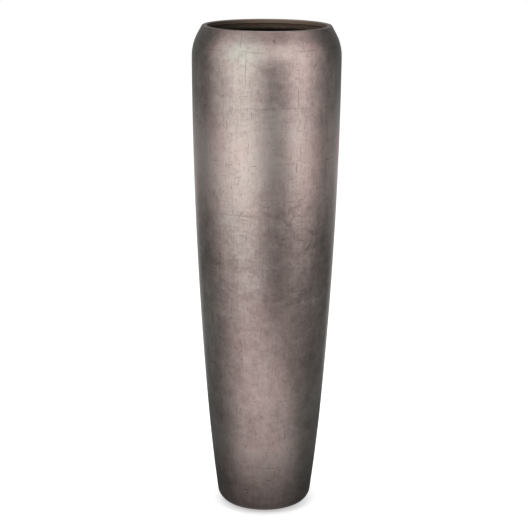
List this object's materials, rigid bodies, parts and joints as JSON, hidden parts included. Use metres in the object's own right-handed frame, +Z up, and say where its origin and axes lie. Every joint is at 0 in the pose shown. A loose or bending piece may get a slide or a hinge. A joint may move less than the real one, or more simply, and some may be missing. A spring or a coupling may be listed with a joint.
{
  "type": "tall floor planter",
  "caption": "Tall tapered vase-shaped floor planter with a metal-leaf finish, a weighted foot and a hanging planting insert that lifts out by folding wire handles.",
  "frame": {"origin": "on the floor, under the middle of the foot", "axes": "+Z up along the pot's axis, +X towards the right handle, +Y towards the back"},
  "size_m": [0.3589, 0.359, 1.2],
  "materials": {
    "leaf_lacquer": "satin",
    "moulded_composite": "matte",
    "drain_pipe": "satin",
    "mortar": "matte",
    "black_rubber": "matte",
    "galvanised_sheet": "satin",
    "cast_zinc": "satin",
    "rivet_steel": "satin",
    "plated_wire": "satin"
  },
  "bodies": {
    "vase": {"vase_shell": "leaf_lacquer", "base_plate": "moulded_composite", "drain_tube": "drain_pipe", "ballast": "mortar", "floor_pad_1": "black_rubber", "floor_pad_2": "black_rubber", "floor_pad_3": "black_rubber", "floor_pad_4": "black_rubber", "insert_bracket_1": "moulded_composite", "insert_bracket_2": "moulded_composite", "insert_bracket_3": "moulded_composite", "insert_bracket_4": "moulded_composite"},
    "plug": {"drain_plug": "black_rubber"},
    "insert": {"insert_wall": "galvanised_sheet", "insert_bottom": "galvanised_sheet", "handle_lug_left": "cast_zinc", "handle_lug_right": "cast_zinc", "lug_rivets": "rivet_steel"},
    "left_handle": {"handle_left": "plated_wire"},
    "right_handle": {"handle_right": "plated_wire"}
  },
  "joints": [
    {"name": "insert_lift", "type": "slide", "parent": "vase", "child": "insert", "axis": [0, 0, 1], "range_m": [0, 0.36]},
    {"name": "right_handle_swing", "type": "hinge", "parent": "insert", "child": "right_handle", "pos_m": [0.10395, 0, 1.12], "axis": [0, 1, 0], "range_deg": [0, 180]},
    {"name": "left_handle_swing", "type": "hinge", "parent": "insert", "child": "left_handle", "pos_m": [-0.10395, 0, 1.12], "axis": [0, -1, 0], "range_deg": [0, 180]},
    {"name": "drain_plug_pull", "type": "slide", "parent": "vase", "child": "plug", "axis": [0, 0, -1], "range_m": [0, 0.03]}
  ]
}
